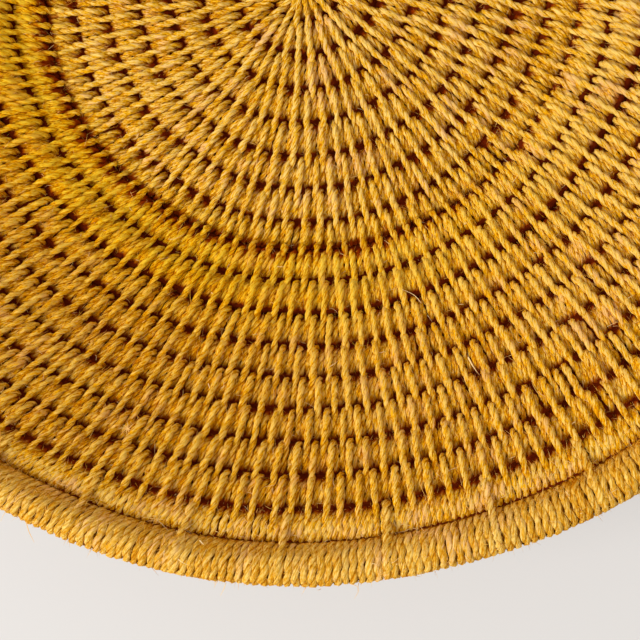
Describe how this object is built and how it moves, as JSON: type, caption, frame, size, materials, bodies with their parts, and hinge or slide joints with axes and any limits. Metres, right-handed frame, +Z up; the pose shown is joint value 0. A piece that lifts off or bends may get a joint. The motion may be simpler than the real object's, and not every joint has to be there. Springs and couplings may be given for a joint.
{
  "type": "coiled sisal basket",
  "caption": "Shallow round bowl basket of twine-bound fibre cord, wound in a spiral from a flat base up a sloping wall to a thicker bound rim.",
  "frame": {"origin": "on the surface that the basket stands on, under the middle of its outline", "axes": "+Z up, out of the bowl's mouth; -Y towards the side that the picture shows"},
  "size_m": [0.2976, 0.2962, 0.0516],
  "materials": {
    "sisal_twine": "matte",
    "sisal_rim_twine": "matte",
    "sisal_fibre": "matte"
  },
  "bodies": {
    "root": {"start_knot": "sisal_twine", "foundation_bundle": "sisal_fibre", "base_binding": "sisal_twine", "wall_binding": "sisal_twine", "rim_bundle": "sisal_fibre", "rim_binding": "sisal_rim_twine", "rim_catch_stitch_01": "sisal_rim_twine", "rim_catch_stitch_02": "sisal_rim_twine", "rim_catch_stitch_03": "sisal_rim_twine", "rim_catch_stitch_04": "sisal_rim_twine", "rim_catch_stitch_05": "sisal_rim_twine", "rim_catch_stitch_06": "sisal_rim_twine", "rim_catch_stitch_07": "sisal_rim_twine", "rim_catch_stitch_08": "sisal_rim_twine", "rim_catch_stitch_09": "sisal_rim_twine", "rim_catch_stitch_10": "sisal_rim_twine", "rim_catch_stitch_11": "sisal_rim_twine", "rim_catch_stitch_12": "sisal_rim_twine", "rim_catch_stitch_13": "sisal_rim_twine", "rim_catch_stitch_14": "sisal_rim_twine", "rim_catch_stitch_15": "sisal_rim_twine", "rim_catch_stitch_16": "sisal_rim_twine", "rim_catch_stitch_17": "sisal_rim_twine", "rim_catch_stitch_18": "sisal_rim_twine", "rim_catch_stitch_19": "sisal_rim_twine", "rim_catch_stitch_20": "sisal_rim_twine", "rim_catch_stitch_21": "sisal_rim_twine", "rim_catch_stitch_22": "sisal_rim_twine", "rim_catch_stitch_23": "sisal_rim_twine", "rim_catch_stitch_24": "sisal_rim_twine", "rim_catch_stitch_25": "sisal_rim_twine", "rim_catch_stitch_26": "sisal_rim_twine", "rim_catch_stitch_27": "sisal_rim_twine", "rim_catch_stitch_28": "sisal_rim_twine", "rim_catch_stitch_29": "sisal_rim_twine"}
  },
  "joints": []
}
